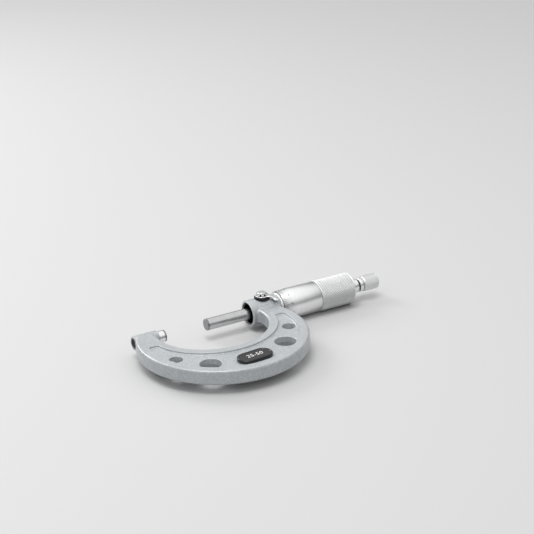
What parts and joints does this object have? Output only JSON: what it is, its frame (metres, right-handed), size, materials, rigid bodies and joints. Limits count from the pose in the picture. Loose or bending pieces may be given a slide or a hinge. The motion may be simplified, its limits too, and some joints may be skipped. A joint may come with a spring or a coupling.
{
  "type": "outside micrometer",
  "caption": "Outside micrometer with a solid bow frame, carbide faces, locking lever, knurled thimble and ratchet stop, set at the low end of its range.",
  "frame": {"origin": "centre of the anvil's measuring face", "axes": "+X along the spindle axis from anvil to ratchet, +Y out of the throat's open side, +Z out of the front of the frame"},
  "size_m": [0.1583, 0.078, 0.0199],
  "materials": {
    "frame_paint": "fine hammer-texture silver-grey paint",
    "polished_steel": "ground and polished",
    "carbide": "lapped",
    "black_plastic": "satin black",
    "black_steel": "black oxide",
    "plain_steel": "turned",
    "satin_chrome": "satin chrome",
    "bright_chrome": "bright chrome"
  },
  "bodies": {
    "frame": {"frame": "frame_paint", "anvil": "polished_steel", "anvil_tip": "carbide", "anvil_plug": "black_plastic", "name_plate": "black_plastic", "front_bush": "black_steel", "inner_sleeve": "plain_steel", "adjusting_nut": "plain_steel", "clamp_ring": "polished_steel", "lock_washer": "black_steel"},
    "lock": {"lock_pin": "bright_chrome", "lock_lever": "bright_chrome", "lock_nut": "bright_chrome", "lock_screw": "bright_chrome"},
    "sleeve": {"outer_sleeve": "satin_chrome"},
    "spindle": {"spindle": "polished_steel", "spindle_tip": "carbide"},
    "thimble": {"thimble": "satin_chrome", "ratchet_screw": "bright_chrome", "drive_ring": "polished_steel", "end_screw": "bright_chrome"},
    "knob": {"ratchet_knob": "satin_chrome", "ratchet_sleeve": "bright_chrome", "ratchet_spring": "plain_steel"},
    "click": {"click_ring": "polished_steel"}
  },
  "joints": [
    {"name": "spindle_feed", "type": "slide", "parent": "frame", "child": "spindle", "axis": [1, 0, 0], "range_m": [0, 0.025]},
    {"name": "thimble_turn", "type": "hinge", "parent": "spindle", "child": "thimble", "pos_m": [0.112, 0, 0], "axis": [1, 0, 0], "range_deg": [0, 18000]},
    {"name": "ratchet_turn", "type": "hinge", "parent": "thimble", "child": "knob", "pos_m": [0.13, 0, 0], "axis": [1, 0, 0], "continuous": true},
    {"name": "click_slide", "type": "slide", "parent": "knob", "child": "click", "axis": [1, 0, 0], "range_m": [0, 0.0005], "stiffness_N_per_m": 100, "springref_m": -0.001, "deforming": ["ratchet_spring"]},
    {"name": "lock_turn", "type": "hinge", "parent": "frame", "child": "lock", "pos_m": [0.0605, 0, 0.0085], "axis": [0, 0, -1], "range_deg": [0, 60]},
    {"name": "sleeve_adjust", "type": "hinge", "parent": "frame", "child": "sleeve", "pos_m": [0.085, 0, 0], "axis": [1, 0, 0], "range_deg": [-15, 15]}
  ],
  "couplings": [
    {"joint": "thimble_turn", "follows": "spindle_feed", "rad_per_m": 12566}
  ]
}
